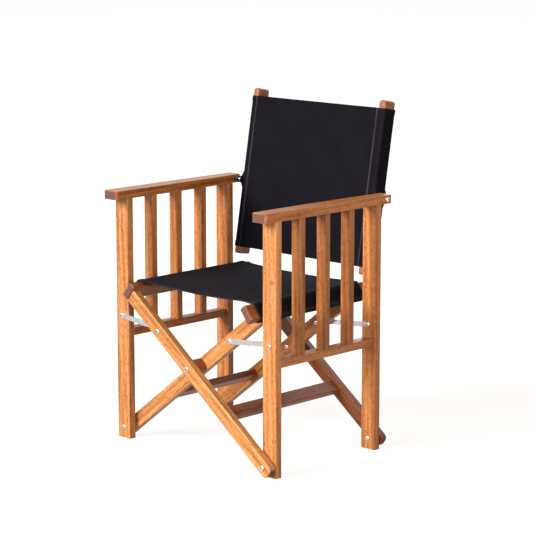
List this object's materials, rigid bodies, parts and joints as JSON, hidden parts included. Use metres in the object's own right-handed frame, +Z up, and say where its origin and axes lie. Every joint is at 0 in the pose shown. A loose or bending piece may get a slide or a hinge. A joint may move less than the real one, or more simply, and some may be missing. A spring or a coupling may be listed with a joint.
{
  "type": "director chair",
  "caption": "Folding director chair with slatted hardwood side frames, crossed legs, steel links and a canvas seat and back.",
  "frame": {"origin": "on the floor, midway between the four posts", "axes": "+Z up, the chair faces -Y, +X to the right seen from the front"},
  "size_m": [0.5818, 0.5277, 0.8775],
  "materials": {
    "hardwood": "oiled",
    "dowel_wood": "plain",
    "canvas": "woven",
    "steel": "polished",
    "nylon": "moulded"
  },
  "bodies": {
    "left_side": {"arm_left": "hardwood", "dowels_left": "dowel_wood", "foot_bolts_left": "steel", "foot_washers_left": "steel", "front_post_left": "hardwood", "link_bolts_left": "steel", "rear_post_left": "hardwood", "side_rail_left": "hardwood", "slat_left_1": "hardwood", "slat_left_2": "hardwood", "slat_left_3": "hardwood", "back_bolt_left": "steel", "back_bush_left": "nylon"},
    "right_side": {"arm_right": "hardwood", "dowels_right": "dowel_wood", "foot_bolts_right": "steel", "foot_washers_right": "steel", "front_post_right": "hardwood", "link_bolts_right": "steel", "rear_post_right": "hardwood", "side_rail_right": "hardwood", "slat_right_1": "hardwood", "slat_right_2": "hardwood", "slat_right_3": "hardwood", "back_bolt_right": "steel", "back_bush_right": "nylon"},
    "cross_a": {"dowels_a": "dowel_wood", "leg_a_front": "hardwood", "leg_a_rear": "hardwood", "link_bolts_leg_a": "steel", "seat_rail_a": "hardwood", "stretcher_a": "hardwood"},
    "cross_b": {"cross_pivot_bolts": "steel", "cross_pivot_spacers": "hardwood", "dowels_b": "dowel_wood", "leg_b_front": "hardwood", "leg_b_rear": "hardwood", "link_bolts_leg_b": "steel", "seat_canvas": "canvas", "seat_rail_b": "hardwood", "stretcher_b": "hardwood"},
    "links_left": {"folding_links_left": "steel", "link_studs_left": "steel"},
    "back_left": {"back_bracket_left": "steel", "back_canvas": "canvas", "back_sleeve_left": "canvas", "back_upright_left": "hardwood", "bracket_screws_left": "steel"},
    "links_right": {"folding_links_right": "steel", "link_studs_right": "steel"},
    "back_right": {"back_bracket_right": "steel", "back_sleeve_right": "canvas", "back_upright_right": "hardwood", "bracket_screws_right": "steel"}
  },
  "joints": [
    {"name": "fold", "type": "hinge", "parent": "left_side", "child": "cross_b", "pos_m": [-0.262, 0, 0.0285], "axis": [0, -1, 0], "range_deg": [0, 27.47], "deforming": ["seat_canvas"]},
    {"name": "cross_pivot", "type": "hinge", "parent": "cross_b", "child": "cross_a", "pos_m": [0, 0, 0.22881], "axis": [0, -1, 0], "range_deg": [-60.1, 0.1]},
    {"name": "right_foot", "type": "hinge", "parent": "cross_a", "child": "right_side", "pos_m": [0.262, 0, 0.0285], "axis": [0, -1, 0], "range_deg": [-0.1, 27.57]},
    {"name": "left_link", "type": "hinge", "parent": "left_side", "child": "links_left", "pos_m": [-0.262, 0, 0.3238], "axis": [0, -1, 0], "range_deg": [-0.1, 58.75]},
    {"name": "right_link", "type": "hinge", "parent": "right_side", "child": "links_right", "pos_m": [0.262, 0, 0.3238], "axis": [0, -1, 0], "range_deg": [-58.75, 0.1]},
    {"name": "back_swing_left", "type": "hinge", "parent": "left_side", "child": "back_left", "pos_m": [-0.24, 0.207, 0.639], "axis": [1, 0, 0], "range_deg": [-0.5, 95.5], "deforming": ["back_canvas"]},
    {"name": "back_swing_right", "type": "hinge", "parent": "right_side", "child": "back_right", "pos_m": [0.24, 0.207, 0.639], "axis": [1, 0, 0], "range_deg": [-0.5, 95.5]}
  ],
  "couplings": [
    {"joint": "cross_pivot", "follows": "fold", "ratio": -2.1841},
    {"joint": "right_foot", "follows": "fold", "ratio": 1},
    {"joint": "left_link", "follows": "fold", "ratio": 2.135},
    {"joint": "right_link", "follows": "fold", "ratio": -2.135},
    {"joint": "back_swing_left", "follows": "fold", "ratio": 3.4582},
    {"joint": "back_swing_right", "follows": "fold", "ratio": 3.4582}
  ]
}
